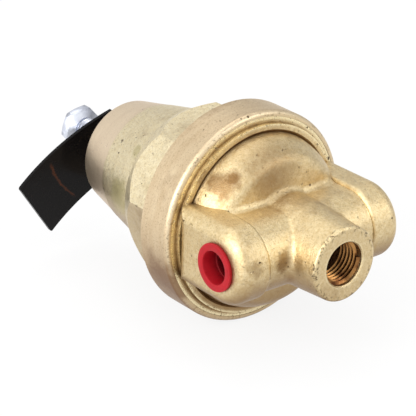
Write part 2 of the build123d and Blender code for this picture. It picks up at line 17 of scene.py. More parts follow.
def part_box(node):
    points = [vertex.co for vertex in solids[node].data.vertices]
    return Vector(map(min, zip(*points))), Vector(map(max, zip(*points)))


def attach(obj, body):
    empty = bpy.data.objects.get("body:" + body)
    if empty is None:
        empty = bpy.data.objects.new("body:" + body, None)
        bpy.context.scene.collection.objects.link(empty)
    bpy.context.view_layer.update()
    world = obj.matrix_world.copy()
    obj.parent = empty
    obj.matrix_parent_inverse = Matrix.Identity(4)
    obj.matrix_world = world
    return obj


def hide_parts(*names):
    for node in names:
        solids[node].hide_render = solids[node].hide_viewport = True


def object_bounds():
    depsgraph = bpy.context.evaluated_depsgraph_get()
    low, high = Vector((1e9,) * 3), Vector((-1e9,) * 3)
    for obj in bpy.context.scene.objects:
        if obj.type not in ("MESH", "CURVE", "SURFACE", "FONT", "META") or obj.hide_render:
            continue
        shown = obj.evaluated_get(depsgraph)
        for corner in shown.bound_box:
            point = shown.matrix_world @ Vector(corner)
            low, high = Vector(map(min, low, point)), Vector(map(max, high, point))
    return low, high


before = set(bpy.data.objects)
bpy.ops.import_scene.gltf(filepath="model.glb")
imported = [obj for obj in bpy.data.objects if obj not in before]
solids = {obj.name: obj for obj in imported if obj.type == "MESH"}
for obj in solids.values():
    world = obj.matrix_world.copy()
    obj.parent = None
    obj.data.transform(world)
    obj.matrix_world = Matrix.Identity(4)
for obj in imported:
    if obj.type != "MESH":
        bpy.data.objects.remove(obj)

MM = 0.001
cad_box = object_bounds()

# %% [markdown]
# ## Camera
#
# A product photograph like this is taken from some way off with a long lens,
# so parallel edges stay nearly parallel. The camera is placed by the point
# where it stands and by three angles: how far it is turned from the valve's
# axis, how far it looks down, and a slight roll of the picture.

# %% Camera
CAMERA_PLACE = Vector((-358.30, -380.36, 253.22)) * MM
CAMERA_TURN = radians(-38.91)
CAMERA_TILT = radians(24.36)
CAMERA_ROLL = radians(0.94)
LENS = 173.1
SENSOR = 36.0
NEAR_LIMIT = 0.05


def camera_axes(turn, tilt, roll):
    """The camera's right, up and backward directions."""
    back = Vector((sin(turn) * cos(tilt), -cos(turn) * cos(tilt), sin(tilt)))
    right = Vector((cos(turn), sin(turn), 0))
    up = back.cross(right)
    return right * cos(roll) + up * sin(roll), up * cos(roll) - right * sin(roll), back


right, up, back = camera_axes(CAMERA_TURN, CAMERA_TILT, CAMERA_ROLL)
camera_data = bpy.data.cameras.new("photo_camera")
camera_data.lens = LENS
camera_data.sensor_width = SENSOR
camera_data.clip_start = NEAR_LIMIT
camera = bpy.data.objects.new("photo_camera", camera_data)
bpy.context.scene.collection.objects.link(camera)
turned = Matrix((right, up, back)).transposed()
camera.matrix_world = Matrix.Translation(CAMERA_PLACE) @ turned.to_4x4()
bpy.context.scene.camera = camera
print("camera to valve:", round((CAMERA_PLACE - Vector((0, 0.04, 0))).length, 3), "m")

# %% [markdown]
# ## Small helpers for shader nodes
#
# Node trees are long to write out, so a few short helpers add the nodes that
# come up again and again. Each returns an output socket, which the next call
# takes as its input, and so a material reads from top to bottom.


# %% Helpers for nodes
def put(tree, kind, **settings):
    """Add one node and set its properties."""
    node = tree.nodes.new(kind)
    for name, value in settings.items():
        setattr(node, name, value)
    return node


def feed(tree, node, **sockets):
    """Link or set inputs. Underscores in a name stand for spaces."""
    for name, value in sockets.items():
        socket = node.inputs[name.replace("_", " ")]
        if isinstance(value, bpy.types.NodeSocket):
            tree.links.new(value, socket)
        else:
            socket.default_value = value
    return node


def maths(tree, operation, first, second=0.0):
    """One step of arithmetic."""
    node = put(tree, "ShaderNodeMath", operation=operation)
    for socket, value in zip(node.inputs, (first, second)):
        if isinstance(value, bpy.types.NodeSocket):
            tree.links.new(value, socket)
        else:
            socket.default_value = value
    return node.outputs[0]


def noise(tree, place, scale, detail=3.0, roughness=0.55):
    """Cloudy noise from 0 to 1. The scale is in clouds per metre."""
    node = put(tree, "ShaderNodeTexNoise")
    feed(tree, node, Vector=place, Scale=scale, Detail=detail, Roughness=roughness)
    return node.outputs["Fac"]


def coordinate(tree, place, axis):
    """One coordinate of a point: X, Y or Z."""
    return feed(tree, put(tree, "ShaderNodeSeparateXYZ"), Vector=place).outputs[axis]


def stretched(tree, place, scale):
    """A point with its three coordinates scaled."""
    return feed(tree, put(tree, "ShaderNodeMapping"), Vector=place, Scale=scale).outputs[0]


def radius_round(tree, place, across):
    """Distance from an axis. The scale across is 0 along the axis and 1 square to it."""
    length = put(tree, "ShaderNodeVectorMath", operation="LENGTH")
    tree.links.new(stretched(tree, place, across), length.inputs[0])
    return length.outputs["Value"]


ROUND_X = (0.0, 1.0, 1.0)
ROUND_Y = (1.0, 0.0, 1.0)


def smooth_range(tree, value, low, high, start=0.0, end=1.0):
    """Ease from start to end while the value goes from low to high."""
    node = put(tree, "ShaderNodeMapRange", interpolation_type="SMOOTHSTEP")
    feed(tree, node, Value=value, From_Min=low, From_Max=high, To_Min=start, To_Max=end)
    return node.outputs["Result"]


def blend_colour(tree, factor, first, second):
    """Mix two colours."""
    node = put(tree, "ShaderNodeMix", data_type="RGBA")
    for index, value in ((0, factor), (6, first), (7, second)):
        if isinstance(value, bpy.types.NodeSocket):
            tree.links.new(value, node.inputs[index])
        else:
            node.inputs[index].default_value = value
    return node.outputs[2]


def new_group(name, inputs, outputs):
    """A shader node group with named inputs and outputs."""
    group = bpy.data.node_groups.new(name, "ShaderNodeTree")
    for label, value in inputs:
        socket = group.interface.new_socket(
            name=label, in_out="INPUT", socket_type="NodeSocketFloat"
        )
        socket.default_value = value
    for label in outputs:
        group.interface.new_socket(name=label, in_out="OUTPUT", socket_type="NodeSocketFloat")
    return group, group.nodes.new("NodeGroupInput"), group.nodes.new("NodeGroupOutput")


def use_group(tree, group, **values):
    """Place a group in a material and set its inputs."""
    node = put(tree, "ShaderNodeGroup", node_tree=group)
    return feed(tree, node, **values)


def rgb(red, green, blue):
    """A colour from screen values of 0 to 255."""
    def linear(value):
        share = value / 255
        return share / 12.92 if share <= 0.04045 else ((share + 0.055) / 1.055) ** 2.4

    return (linear(red), linear(green), linear(blue), 1.0)


def new_material(name, metallic, roughness, colour, specular=0.5):
    """A material with one Principled shader, to which patterns are added."""
    material = bpy.data.materials.new(name)
    material.use_nodes = True
    tree = material.node_tree
    shader = tree.nodes["Principled BSDF"]
    shader.inputs["Metallic"].default_value = metallic
    shader.inputs["Roughness"].default_value = roughness
    shader.inputs["Base Color"].default_value = colour
    shader.inputs["Specular IOR Level"].default_value = specular
    return material, tree, shader


print("helpers ready")

# %% [markdown]
# ## Shared effects
#
# Three effects turn up in several finishes, so each is a node group. Sand-cast metal shows grains,
# soft lumps, pits and stains. Turned metal shows fine rings round its axis. Corners and grooves are
# painted darker as painted shade, and the edges that stand out are painted paler, partly as handling
# wear and partly as painted highlight; both masks come from ambient occlusion, measured outwards for
# the corners and inwards for the edges.
#
# Two more masks are plain functions: a ragged patch at a given place, and painted shade on low places
# and on surfaces that face down.


# %% Sand-cast surface
def make_cast_group():
    """Grain, lumps, pits and stains of a sand casting."""
    group, given, result = new_group(
        "cast_surface",
        [("Grain Scale", 2100.0), ("Lump Scale", 240.0), ("Stain Scale", 60.0)],
        ["Height", "Grain", "Pits", "Stain", "Tone"],
    )
    place = put(group, "ShaderNodeTexCoord").outputs["Object"]
    grain = noise(group, place, given.outputs["Grain Scale"], 5.0, 0.62)
    lumps = noise(group, place, given.outputs["Lump Scale"], 2.0, 0.5)
    pit_noise = noise(group, place, 620.0, 2.0, 0.6)
    pits = smooth_range(group, pit_noise, 0.67, 0.73)
    cluster = smooth_range(group, noise(group, place, 75.0, 2.0), 0.42, 0.60)
    sparse_pits = maths(group, "MULTIPLY", pits, cluster)
    stain_noise = noise(group, place, given.outputs["Stain Scale"], 5.0, 0.65)
    stain = smooth_range(group, stain_noise, 0.50, 0.72)
    tone = noise(group, place, 760.0, 8.0, 0.80)
    raised = maths(group, "MULTIPLY", grain, 0.34)
    raised = maths(group, "ADD", raised, maths(group, "MULTIPLY", lumps, 0.40))
    raised = maths(group, "SUBTRACT", raised, maths(group, "MULTIPLY", sparse_pits, 0.8))
    feed(group, result, Height=raised, Grain=grain, Pits=sparse_pits, Stain=stain, Tone=tone)
    return group


cast_surface = make_cast_group()


# %% Turned surface
def make_turned_group():
    """Rings that a lathe tool leaves round the main axis."""
    group, given, result = new_group(
        "turned_surface",
        [("Ring Scale", 2600.0), ("Ring Depth", 1.0)],
        ["Height", "Rings", "Smear"],
    )
    place = put(group, "ShaderNodeTexCoord").outputs["Object"]
    along = coordinate(group, place, "Y")
    wander = maths(group, "MULTIPLY", noise(group, place, 30.0, 2.0), 0.0006)
    line = feed(group, put(group, "ShaderNodeCombineXYZ"), Y=maths(group, "ADD", along, wander))
    rings = noise(group, line.outputs[0], given.outputs["Ring Scale"], 4.0, 0.7)
    smear = noise(group, stretched(group, place, (1.0, 4.0, 1.0)), 90.0, 5.0, 0.65)
    height = maths(group, "MULTIPLY", rings, given.outputs["Ring Depth"])
    feed(group, result, Height=height, Rings=rings, Smear=smear)
    return group


turned_surface = make_turned_group()


# %% Painted shade in corners, wear and painted highlight on edges
def make_shade_and_wear_group():
    """Masks for painted shade in corners and grooves, and for edges made paler by wear and painted
    highlight.
    """
    group, given, result = new_group(
        "corners_and_edges",
        [("Reach", 0.0030), ("Edge Reach", 0.0016)],
        ["Corner", "Deep", "Edge"],
    )
    place = put(group, "ShaderNodeTexCoord").outputs["Object"]
    ragged = noise(group, place, 420.0, 4.0, 0.65)
    outside = put(group, "ShaderNodeAmbientOcclusion", samples=8)
    feed(group, outside, Distance=given.outputs["Reach"])
    inside = put(group, "ShaderNodeAmbientOcclusion", samples=8, inside=True)
    feed(group, inside, Distance=given.outputs["Edge Reach"])
    closed = maths(group, "SUBTRACT", 1.0, outside.outputs["AO"])
    shaken = maths(group, "ADD", closed, maths(group, "MULTIPLY", ragged, 0.30))
    # Corner and Deep are painted shade in corners and grooves.
    corner = smooth_range(group, shaken, 0.28, 0.85)
    deep = smooth_range(group, shaken, 0.56, 0.90)
    # Edge is partly rubbed wear and partly painted highlight.
    thin = maths(group, "SUBTRACT", 1.0, inside.outputs["AO"])
    edge_wear_and_highlight = maths(group, "ADD", thin, maths(group, "MULTIPLY", ragged, 0.2))
    feed(group, result, Corner=corner, Deep=deep, Edge=smooth_range(group, edge_wear_and_highlight, 0.26, 0.56))
    return group


corners_and_edges = make_shade_and_wear_group()


# %% Patches and painted shade on the underside
def patch(tree, place, centre, radius, raggedness):
    """A soft ragged spot on the surface, given by its centre and radius in millimetres."""
    node = put(tree, "ShaderNodeVectorMath", operation="DISTANCE")
    tree.links.new(place, node.inputs[0])
    node.inputs[1].default_value = [value * MM for value in centre]
    wobble = maths(tree, "SUBTRACT", noise(tree, place, 0.9 / (radius * MM), 5.0, 0.65), 0.5)
    wobble = maths(tree, "MULTIPLY", wobble, 4 * raggedness * radius * MM)
    shaken = maths(tree, "ADD", node.outputs["Value"], wobble)
    return smooth_range(tree, shaken, radius * MM, 0.35 * radius * MM)


def marks(tree, place, rows):
    """Layers for a table of patches."""
    return [
        (patch(tree, place, centre, radius, raggedness), strength, colour)
        for centre, radius, raggedness, strength, colour in rows
    ]


def painted_underside_shade(tree, place):
    """A mask for painted shade on low places and on surfaces that face down."""
    normal = put(tree, "ShaderNodeTexCoord").outputs["Normal"]
    downward = smooth_range(tree, coordinate(tree, normal, "Z"), 0.25, -0.70)
    low_down = smooth_range(tree, coordinate(tree, place, "Z"), 2 * MM, -28 * MM)
    return maths(tree, "MAXIMUM", low_down, downward)


print("groups:", [group.name for group in bpy.data.node_groups])

# %% [markdown]
# ## Cast brass
#
# The body is poured in a sand mould and only its ports and its rim are cut afterwards. Fresh cast
# brass is a pale yellow; here it is painted browner in the hollows as painted shade, and nearly white
# on the edges, partly for rubbing and partly as painted highlight. The colour is built up in layers,
# and a mask lays on each one: grain, stains, painted shade on the underside and in corners, edges and
# pits. The grain also drives the roughness, so the highlights break up into small glints. Tables list
# the single stains, patches of painted shade and pits by their place.

# %% Cast brass material
CAST_YELLOW = rgb(214, 188, 138)
CAST_PALE = rgb(240, 222, 180)
CAST_WORN_AND_HIGHLIGHT = rgb(250, 234, 190)
CAST_BROWN = rgb(132, 98, 58)
CAST_SOOT_AND_SHADE = rgb(70, 48, 28)
BORE_SHADE_BROWN = rgb(112, 72, 46)
BORE_RADIUS = 6.9 * MM
BORE_START = 1.3 * MM
FACE_RADIUS = 10.9 * MM
CAST_RELIEF = 0.46 * MM
# Each row: centre and radius in millimetres, raggedness, strength, colour.
BODY_STAINS_AND_SHADE = (
    # The first three rows are painted shade on the dome's front and on the valley behind it; the last
    # two are stains.
    ((-4.0, 29.0, 21.0), 15.0, 0.35, 0.50, CAST_BROWN),
    ((-19.5, 34.5, 18.0), 6.0, 0.5, 0.80, CAST_BROWN),
    ((-16.5, 31.5, 21.0), 4.0, 0.5, 0.85, CAST_BROWN),
    ((-15.3, 9.7, 1.6), 4.0, 0.5, 0.60, CAST_BROWN),
    ((-26.0, 9.5, 3.0), 3.5, 0.5, 0.45, CAST_BROWN),
)
BODY_PITS = (
    ((10.2, 27.7, 12.8), 0.55, 0.2, 0.95, CAST_SOOT_AND_SHADE),
    ((9.8, 39.5, 28.7), 0.45, 0.2, 0.90, CAST_SOOT_AND_SHADE),
    ((27.2, 9.3, 4.0), 0.50, 0.2, 0.90, CAST_SOOT_AND_SHADE),
)


def layered(tree, colour, *layers):
    """Lay colours over one another, each by its mask and its strength."""
    for mask, strength, layer in layers:
        colour = blend_colour(tree, maths(tree, "MULTIPLY", mask, strength), colour, layer)
    return colour


def cast_colour(tree, cast, shade_and_wear, place, dark, pale):
    """Colour of cast brass from its masks, between two base tones."""
    tone = smooth_range(tree, cast.outputs["Tone"], 0.30, 0.72)
    return layered(
        tree,
        blend_colour(tree, tone, dark, pale),
        (smooth_range(tree, cast.outputs["Grain"], 0.47, 0.33), 0.40, CAST_BROWN),
        (smooth_range(tree, cast.outputs["Grain"], 0.56, 0.70), 0.35, CAST_WORN_AND_HIGHLIGHT),
        (cast.outputs["Stain"], 0.42, CAST_BROWN),
        # The underside, corner and deep layers are painted shade; the edge layer is partly wear and
        # partly painted highlight.
        (painted_underside_shade(tree, place), 0.85, CAST_BROWN),
        (shade_and_wear.outputs["Corner"], 0.70, CAST_BROWN),
        (shade_and_wear.outputs["Deep"], 0.70, CAST_SOOT_AND_SHADE),
        (shade_and_wear.outputs["Edge"], 0.75, CAST_WORN_AND_HIGHLIGHT),
        (cast.outputs["Pits"], 0.9, CAST_SOOT_AND_SHADE),
    )


def edge_specks(tree, shade_and_wear, place):
    """A mask for dark specks caught along the edges."""
    spots = smooth_range(tree, noise(tree, place, 1100.0, 4.0, 0.7), 0.53, 0.62)
    streaks = smooth_range(tree, noise(tree, place, 190.0, 3.0), 0.42, 0.58)
    spots = maths(tree, "MULTIPLY", spots, streaks)
    return maths(tree, "MULTIPLY", spots, smooth_range(tree, shade_and_wear.outputs["Edge"], 0.05, 0.45))


def face_specks(tree, place):
    """A mask for dark specks round the outer edge of the front port's face."""
    radius = radius_round(tree, place, ROUND_Y)
    ring = smooth_range(tree, radius, FACE_RADIUS - 1.3 * MM, FACE_RADIUS)
    depth = coordinate(tree, place, "Y")
    ring = maths(tree, "MULTIPLY", ring, smooth_range(tree, depth, 1.8 * MM, 0.8 * MM))
    spots = smooth_range(tree, noise(tree, place, 700.0, 5.0, 0.75), 0.52, 0.60)
    return maths(tree, "MULTIPLY", ring, spots)


def cast_roughness(tree, cast, shade_and_wear):
    """Roughness of cast brass: grains scatter, rubbed edges shine."""
    rough = smooth_range(tree, cast.outputs["Grain"], 0.3, 0.7, 0.30, 0.46)
    rough = maths(tree, "ADD", rough, maths(tree, "MULTIPLY", shade_and_wear.outputs["Corner"], 0.12))
    return maths(tree, "SUBTRACT", rough, maths(tree, "MULTIPLY", shade_and_wear.outputs["Edge"], 0.14))


def bump(tree, height, distance):
    """Turn a height into a normal."""
    return feed(tree, put(tree, "ShaderNodeBump"), Height=height, Distance=distance).outputs["Normal"]


def inside_port(tree, place):
    """A mask for the inside of the front port, painted brown as painted shade."""
    radius = radius_round(tree, place, ROUND_Y)
    within = smooth_range(tree, radius, BORE_RADIUS + 0.1 * MM, BORE_RADIUS)
    depth = coordinate(tree, place, "Y")
    return maths(tree, "MULTIPLY", within, smooth_range(tree, depth, BORE_START, 3 * BORE_START))


cast_brass, tree, shader = new_material(
    "cast_brass", metallic=1.0, roughness=0.42, colour=CAST_YELLOW
)
cast = use_group(tree, cast_surface)
shade_and_wear = use_group(tree, corners_and_edges)
place = put(tree, "ShaderNodeTexCoord").outputs["Object"]
colour = layered(
    tree,
    cast_colour(tree, cast, shade_and_wear, place, CAST_YELLOW, CAST_PALE),
    *marks(tree, place, BODY_STAINS_AND_SHADE),
    (edge_specks(tree, shade_and_wear, place), 0.75, CAST_SOOT_AND_SHADE),
    (face_specks(tree, place), 0.80, CAST_SOOT_AND_SHADE),
    # Painted shade inside the front port.
    (inside_port(tree, place), 0.95, BORE_SHADE_BROWN),
    *marks(tree, place, BODY_PITS),
)
feed(
    tree,
    shader,
    Base_Color=colour,
    Roughness=cast_roughness(tree, cast, shade_and_wear),
    Normal=bump(tree, cast.outputs["Height"], CAST_RELIEF),
)
solids["valve_body"].data.materials[0] = cast_brass
print("cast brass on", solids["valve_body"].name)

# %% [markdown]
# ## The spring housing: cast and turned on one piece
#
# The housing is cast too, but a lathe has cleaned its skirt and the last part of its barrel. There the
# metal is smoother and pinker. One material holds both finishes and changes over along Y, with a
# ragged line where the tool ran out into the rough casting. The rings in front of the skirt are more
# golden, and the joint between them and the body is darker. Patches of painted shade lie on the lower
# left of the barrel and of the skirt, and the underside and corners get painted shade as on the body.

# %% Spring housing material
SKIRT_BACK = 54.3 * MM
BAND_FRONT = 91.0 * MM
JOINT_RADIUS = 29.2 * MM
RING_END = 41.2 * MM
HOUSING_RELIEF = 0.30 * MM
HOUSING_YELLOW = rgb(228, 210, 168)
HOUSING_PALE = rgb(246, 234, 202)
HOUSING_OLIVE = rgb(176, 164, 106)
TURNED_PINK = rgb(214, 190, 154)
TURNED_PALE = rgb(230, 210, 176)
TURNED_WORN_AND_HIGHLIGHT = rgb(252, 238, 204)
TURNED_BROWN = rgb(136, 102, 70)
BAND_PINK = rgb(246, 228, 204)
RING_GOLD = rgb(184, 150, 92)
SKIRT_PAINTED_SHADE = rgb(124, 90, 62)
HOUSING_MARKS_AND_SHADE = (
    # This row is painted shade on the lower left of the barrel.
    ((-22.5, 80.0, -1.0), 8.0, 0.5, 0.65, HOUSING_OLIVE),
    ((-18.5, 75.9, 14.4), 3.5, 0.5, 0.45, HOUSING_OLIVE),
    ((-16.1, 86.7, 13.9), 0.7, 0.8, 0.80, CAST_SOOT_AND_SHADE),
    ((-3.2, 41.4, 33.5), 0.6, 0.3, 0.90, CAST_SOOT_AND_SHADE),
    # This row is painted shade on the lower left of the skirt.
    ((-30.8, 44.0, -15.0), 12.0, 0.5, 0.75, SKIRT_PAINTED_SHADE),
)


def turned_colour(tree, rings, cast, shade_and_wear, place):
    """Colour of turned brass from its masks."""
    smear = smooth_range(tree, rings.outputs["Smear"], 0.25, 0.80)
    return layered(
        tree,
        blend_colour(tree, smear, TURNED_PINK, TURNED_PALE),
        (smooth_range(tree, cast.outputs["Grain"], 0.47, 0.33), 0.40, TURNED_BROWN),
        (smooth_range(tree, cast.outputs["Grain"], 0.56, 0.70), 0.30, TURNED_WORN_AND_HIGHLIGHT),
        (cast.outputs["Stain"], 0.38, TURNED_BROWN),
        # The underside, corner and deep layers are painted shade; the edge layer is partly wear and
        # partly painted highlight.
        (painted_underside_shade(tree, place), 0.92, TURNED_BROWN),
        (shade_and_wear.outputs["Corner"], 0.70, TURNED_BROWN),
        (shade_and_wear.outputs["Deep"], 0.80, CAST_SOOT_AND_SHADE),
        (shade_and_wear.outputs["Edge"], 0.45, TURNED_WORN_AND_HIGHLIGHT),
        (cast.outputs["Pits"], 0.80, CAST_SOOT_AND_SHADE),
    )


def joint_dark_ring(tree, place):
    """A mask for a darker ring where the body meets the skirt."""
    wobble = maths(tree, "SUBTRACT", noise(tree, place, 260.0, 5.0, 0.7), 0.5)
    wobble = maths(tree, "MULTIPLY", wobble, 4 * MM)
    radius = maths(tree, "ADD", radius_round(tree, place, ROUND_Y), wobble)
    inner = smooth_range(tree, radius, JOINT_RADIUS - 2.6 * MM, JOINT_RADIUS - 0.8 * MM)
    outer = smooth_range(tree, radius, JOINT_RADIUS + 1.4 * MM, JOINT_RADIUS + 0.2 * MM)
    return maths(tree, "MULTIPLY", inner, outer)


def blend_value(tree, factor, first, second):
    """Mix two values."""
    change = maths(tree, "MULTIPLY", factor, maths(tree, "SUBTRACT", second, first))
    return maths(tree, "ADD", first, change)


housing_brass, tree, shader = new_material(
    "housing_brass", metallic=1.0, roughness=0.38, colour=TURNED_PINK
)
cast = use_group(tree, cast_surface)
rings = use_group(tree, turned_surface)
shade_and_wear = use_group(tree, corners_and_edges)
place = put(tree, "ShaderNodeTexCoord").outputs["Object"]
along = coordinate(tree, place, "Y")
ragged = maths(tree, "SUBTRACT", noise(tree, place, 110.0, 4.0), 0.5)
ragged = maths(tree, "MULTIPLY", ragged, 6 * MM)
shifted = maths(tree, "ADD", along, ragged)
front_turned = smooth_range(tree, along, SKIRT_BACK, SKIRT_BACK + 0.2 * MM, 1.0, 0.0)
back_turned = smooth_range(tree, shifted, BAND_FRONT, BAND_FRONT + 1.2 * MM)
is_turned = maths(tree, "MAXIMUM", front_turned, back_turned)
turned_rough = smooth_range(tree, rings.outputs["Rings"], 0.3, 0.7, 0.38, 0.46)
turned_bump = maths(tree, "MULTIPLY", rings.outputs["Height"], 0.03)
turned_bump = maths(tree, "ADD", turned_bump, maths(tree, "MULTIPLY", cast.outputs["Height"], 0.70))
cast_part = cast_colour(tree, cast, shade_and_wear, place, HOUSING_YELLOW, HOUSING_PALE)
colour = layered(
    tree,
    blend_colour(tree, is_turned, cast_part, turned_colour(tree, rings, cast, shade_and_wear, place)),
    (edge_specks(tree, shade_and_wear, place), 0.60, CAST_SOOT_AND_SHADE),
    (back_turned, 0.55, BAND_PINK),
    (smooth_range(tree, along, RING_END, RING_END - 0.8 * MM), 0.65, RING_GOLD),
    (maths(tree, "MULTIPLY", front_turned, joint_dark_ring(tree, place)), 0.65, CAST_SOOT_AND_SHADE),
    *marks(tree, place, HOUSING_MARKS_AND_SHADE),
)
relief = blend_value(tree, is_turned, cast.outputs["Height"], turned_bump)
feed(
    tree,
    shader,
    Base_Color=colour,
    Roughness=blend_value(tree, is_turned, cast_roughness(tree, cast, shade_and_wear), turned_rough),
    Normal=bump(tree, relief, HOUSING_RELIEF),
)
solids["spring_housing"].data.materials[0] = housing_brass
print("turned zones end at", SKIRT_BACK, "and start again at", BAND_FRONT)

# %% [markdown]
# ## Metals of the small pieces
#
# The adjusting screw, its nut and its washer are steel with bright zinc plate, which has a cold,
# slightly blue shine. The pieces inside are turned brass, pressed or drawn steel and stainless. They
# show only through the open port, but each has its own finish all the same. The threads in the ports
# are a browner brass, which is painted shade for the inside of the ports.


# %% Small metal materials
FINE_RELIEF = 0.02 * MM
SOFT_RELIEF = 0.03 * MM


def plated_metal(name, colour, dull_and_shade, rough_low, rough_high):
    """A smooth metal with faint clouds and fine scratches."""
    material, tree, shader = new_material(name, 1.0, rough_low, colour)
    place = put(tree, "ShaderNodeTexCoord").outputs["Object"]
    clouds = smooth_range(tree, noise(tree, place, 240.0, 4.0), 0.35, 0.7)
    fine = noise(tree, stretched(tree, place, (1.0, 14.0, 1.0)), 900.0, 3.0)
    shade_and_wear = use_group(tree, corners_and_edges, Reach=0.0012, Edge_Reach=0.0005)
    clouded = blend_colour(tree, clouds, colour, dull_and_shade)
    feed(
        tree,
        shader,
        # The dull colour gives random clouds and, in the corner layer, painted shade.
        Base_Color=layered(tree, clouded, (shade_and_wear.outputs["Corner"], 0.6, dull_and_shade)),
        Roughness=smooth_range(tree, fine, 0.3, 0.7, rough_low, rough_high),
        Normal=bump(tree, fine, FINE_RELIEF),
    )
    return material


zinc = plated_metal("zinc_plate", rgb(222, 226, 236), rgb(196, 200, 212), 0.34, 0.46)
# A darker copy of brass for the port threads, as painted shade.
shaded_thread_brass = plated_metal("shaded_thread_brass", rgb(182, 134, 80), rgb(100, 62, 36), 0.22, 0.34)
bright_brass = plated_metal("turned_brass", rgb(222, 186, 124), rgb(178, 138, 84), 0.22, 0.34)
drawn_wire = plated_metal("drawn_wire", rgb(140, 140, 144), rgb(92, 90, 90), 0.30, 0.42)
pressed_steel = plated_metal("pressed_steel", rgb(186, 186, 188), rgb(140, 140, 142), 0.28, 0.42)
stainless = plated_metal("stainless", rgb(200, 198, 194), rgb(160, 158, 154), 0.22, 0.34)

finishes = {
    zinc: ("adjusting_screw", "lock_washer", "lock_nut", "stem_nut", "spring_button"),
    bright_brass: (
        "slip_ring",
        "pressure_plate",
        "diaphragm_stem",
        "valve_seat",
        "inlet_poppet",
        "poppet_retainer",
    ),
    drawn_wire: ("regulating_spring",),
    pressed_steel: ("spring_cup",),
    stainless: ("inlet_strainer", "poppet_spring"),
}
for material, names in finishes.items():
    for name in names:
        solids[name].data.materials[0] = material
print("small metal pieces:", sum(len(names) for names in finishes.values()))

# %% [markdown]
# ## Rubber
#
# Moulded rubber seals are nearly black and dull, with a bloom of grey dust
# where they have been handled.

# %% Rubber material
rubber, tree, shader = new_material(
    "black_rubber", metallic=0.0, roughness=0.65, colour=rgb(26, 26, 27), specular=0.3
)
place = put(tree, "ShaderNodeTexCoord").outputs["Object"]
bloom = smooth_range(tree, noise(tree, place, 300.0, 5.0), 0.45, 0.75)
feed(
    tree,
    shader,
    Base_Color=blend_colour(tree, bloom, rgb(24, 24, 25), rgb(58, 57, 56)),
    Roughness=smooth_range(tree, bloom, 0.0, 1.0, 0.55, 0.75),
    Normal=bump(tree, noise(tree, place, 2200.0, 3.0), SOFT_RELIEF),
)
for name in ("body_o_ring", "seat_o_ring", "diaphragm", "poppet_disc"):
    solids[name].data.materials[0] = rubber
print("rubber pieces: 4")

# %% [markdown]
# ## Red plastic plug
#
# The plug is soft polyethylene. It has a waxy sheen, fine flow marks from moulding, scuffs on the rim
# and a little light that passes through it. Its corners and its hollow are painted darker as painted
# shade, deeper into the hollow.

# %% Plug material
red_plastic, tree, shader = new_material(
    "red_plastic", metallic=0.0, roughness=0.50, colour=rgb(172, 16, 30), specular=0.22
)
place = put(tree, "ShaderNodeTexCoord").outputs["Object"]
flow = noise(tree, place, 180.0, 4.0)
shade_and_wear = use_group(tree, corners_and_edges, Reach=0.004, Edge_Reach=0.0006)
colour = blend_colour(tree, smooth_range(tree, flow, 0.35, 0.7), rgb(152, 10, 22), rgb(166, 18, 30))
plug_low, plug_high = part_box("port_plug")
plug_centre = (plug_low + plug_high) / 2
moved = feed(tree, put(tree, "ShaderNodeMapping"), Vector=place, Location=-plug_centre)
depth = coordinate(tree, moved.outputs[0], "X")
depth = maths(tree, "ADD", depth, plug_centre.x - plug_low.x)
hollow = smooth_range(tree, radius_round(tree, moved.outputs[0], ROUND_X), 5.5 * MM, 5.2 * MM)
hollow = maths(tree, "MULTIPLY", hollow, smooth_range(tree, depth, 2.0 * MM, 8.0 * MM))
colour = layered(
    tree,
    colour,
    (shade_and_wear.outputs["Edge"], 0.5, rgb(214, 70, 76)),
    # The corner and hollow layers are painted shade.
    (shade_and_wear.outputs["Corner"], 0.4, rgb(104, 8, 14)),
    (hollow, 0.95, rgb(26, 3, 5)),
)
feed(
    tree,
    shader,
    Base_Color=colour,
    Roughness=smooth_range(tree, flow, 0.3, 0.7, 0.44, 0.58),
    Normal=bump(tree, noise(tree, place, 1500.0, 3.0), SOFT_RELIEF),
)
shader.inputs["Subsurface Weight"].default_value = 0.05
shader.inputs["Subsurface Scale"].default_value = 0.0008
solids["port_plug"].data.materials[0] = red_plastic

# %% [markdown]
# ## Black tag
#
# The tag is a strip of glossy black plastic sheet that keeps the curve of the
# roll it was cut from. Its gloss is broken by faint scratches and smears. One
# thin brownish streak runs down it, along a slight bend worked out from X and
# Z in millimetres.

# %% Tag material
STREAK_START = -26.0
STREAK_SLOPE = 0.2
STREAK_BEND = 0.031
TAG_BLACK = rgb(13, 11, 11)
TAG_SCRATCH = rgb(52, 44, 40)
TAG_STREAK = rgb(92, 50, 26)
black_gloss, tree, shader = new_material(
    "black_gloss", metallic=0.0, roughness=0.30, colour=rgb(12, 11, 11), specular=0.12
)
place = put(tree, "ShaderNodeTexCoord").outputs["Object"]
smears = smooth_range(tree, noise(tree, place, 120.0, 5.0, 0.6), 0.40, 0.75)
scratch_space = feed(
    tree, put(tree, "ShaderNodeMapping"), Vector=place, Scale=(1.0, 1.0, 9.0), Rotation=(0.3, 0.5, 0.9)
)
scratches = smooth_range(tree, noise(tree, scratch_space.outputs[0], 420.0, 3.0), 0.66, 0.74)
down = maths(tree, "DIVIDE", coordinate(tree, place, "Z"), -MM)
bend = maths(tree, "MULTIPLY", maths(tree, "MULTIPLY", down, down), STREAK_BEND)
bend = maths(tree, "ADD", bend, STREAK_START)
bend = maths(tree, "ADD", bend, maths(tree, "MULTIPLY", down, STREAK_SLOPE))
bend = maths(tree, "ADD", bend, maths(tree, "MULTIPLY", noise(tree, place, 500.0, 3.0), 1.6))
across = maths(tree, "DIVIDE", coordinate(tree, place, "X"), MM)
aside = maths(tree, "ABSOLUTE", maths(tree, "SUBTRACT", across, bend))
streak = smooth_range(tree, aside, 0.8, 0.1)
streak = maths(tree, "MULTIPLY", streak, smooth_range(tree, down, 0.0, 3.0))
streak = maths(tree, "MULTIPLY", streak, smooth_range(tree, down, 16.0, 14.0))
